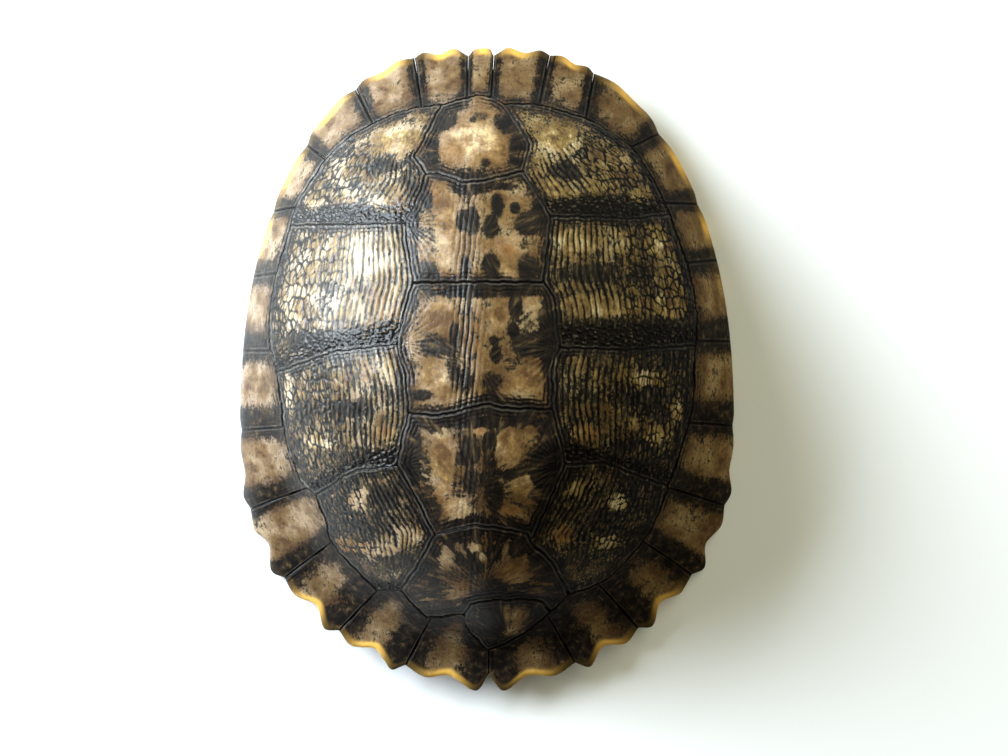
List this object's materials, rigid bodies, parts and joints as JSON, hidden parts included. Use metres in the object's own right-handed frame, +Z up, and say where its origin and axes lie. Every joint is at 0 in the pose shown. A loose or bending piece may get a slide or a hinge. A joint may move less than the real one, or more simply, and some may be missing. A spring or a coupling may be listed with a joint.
{
  "type": "turtle shell",
  "caption": "Carapace of a freshwater slider turtle: horny scutes over a fused bony dome, hollow underneath, resting on its rim.",
  "frame": {"origin": "on the surface that the shell rests on, under the middle of its outline", "axes": "+Y towards the head end, +X to the animal's right, +Z up through the dome"},
  "size_m": [0.155, 0.1983, 0.0629],
  "materials": {
    "vertebral_horn": "satin horn, tan with near-black blotches",
    "pleural_horn": "satin ridged horn, near-black with straw flecks",
    "marginal_horn": "satin horn, tan middle, dark seams, amber edge",
    "bone": "dry matte bone"
  },
  "bodies": {
    "root": {"cervical": "marginal_horn", "vertebral_1": "vertebral_horn", "vertebral_2": "vertebral_horn", "vertebral_3": "vertebral_horn", "vertebral_4": "vertebral_horn", "vertebral_5": "vertebral_horn", "vertebral_6": "vertebral_horn", "pleural_left_1": "pleural_horn", "pleural_left_2": "pleural_horn", "pleural_left_3": "pleural_horn", "pleural_left_4": "pleural_horn", "marginal_left_1": "marginal_horn", "marginal_left_2": "marginal_horn", "marginal_left_3": "marginal_horn", "marginal_left_4": "marginal_horn", "marginal_left_5": "marginal_horn", "marginal_left_6": "marginal_horn", "marginal_left_7": "marginal_horn", "marginal_left_8": "marginal_horn", "marginal_left_9": "marginal_horn", "marginal_left_10": "marginal_horn", "marginal_left_11": "marginal_horn", "marginal_left_12": "marginal_horn", "pleural_right_1": "pleural_horn", "pleural_right_2": "pleural_horn", "pleural_right_3": "pleural_horn", "pleural_right_4": "pleural_horn", "marginal_right_1": "marginal_horn", "marginal_right_2": "marginal_horn", "marginal_right_3": "marginal_horn", "marginal_right_4": "marginal_horn", "marginal_right_5": "marginal_horn", "marginal_right_6": "marginal_horn", "marginal_right_7": "marginal_horn", "marginal_right_8": "marginal_horn", "marginal_right_9": "marginal_horn", "marginal_right_10": "marginal_horn", "marginal_right_11": "marginal_horn", "marginal_right_12": "marginal_horn", "bony_carapace": "bone"}
  },
  "joints": []
}
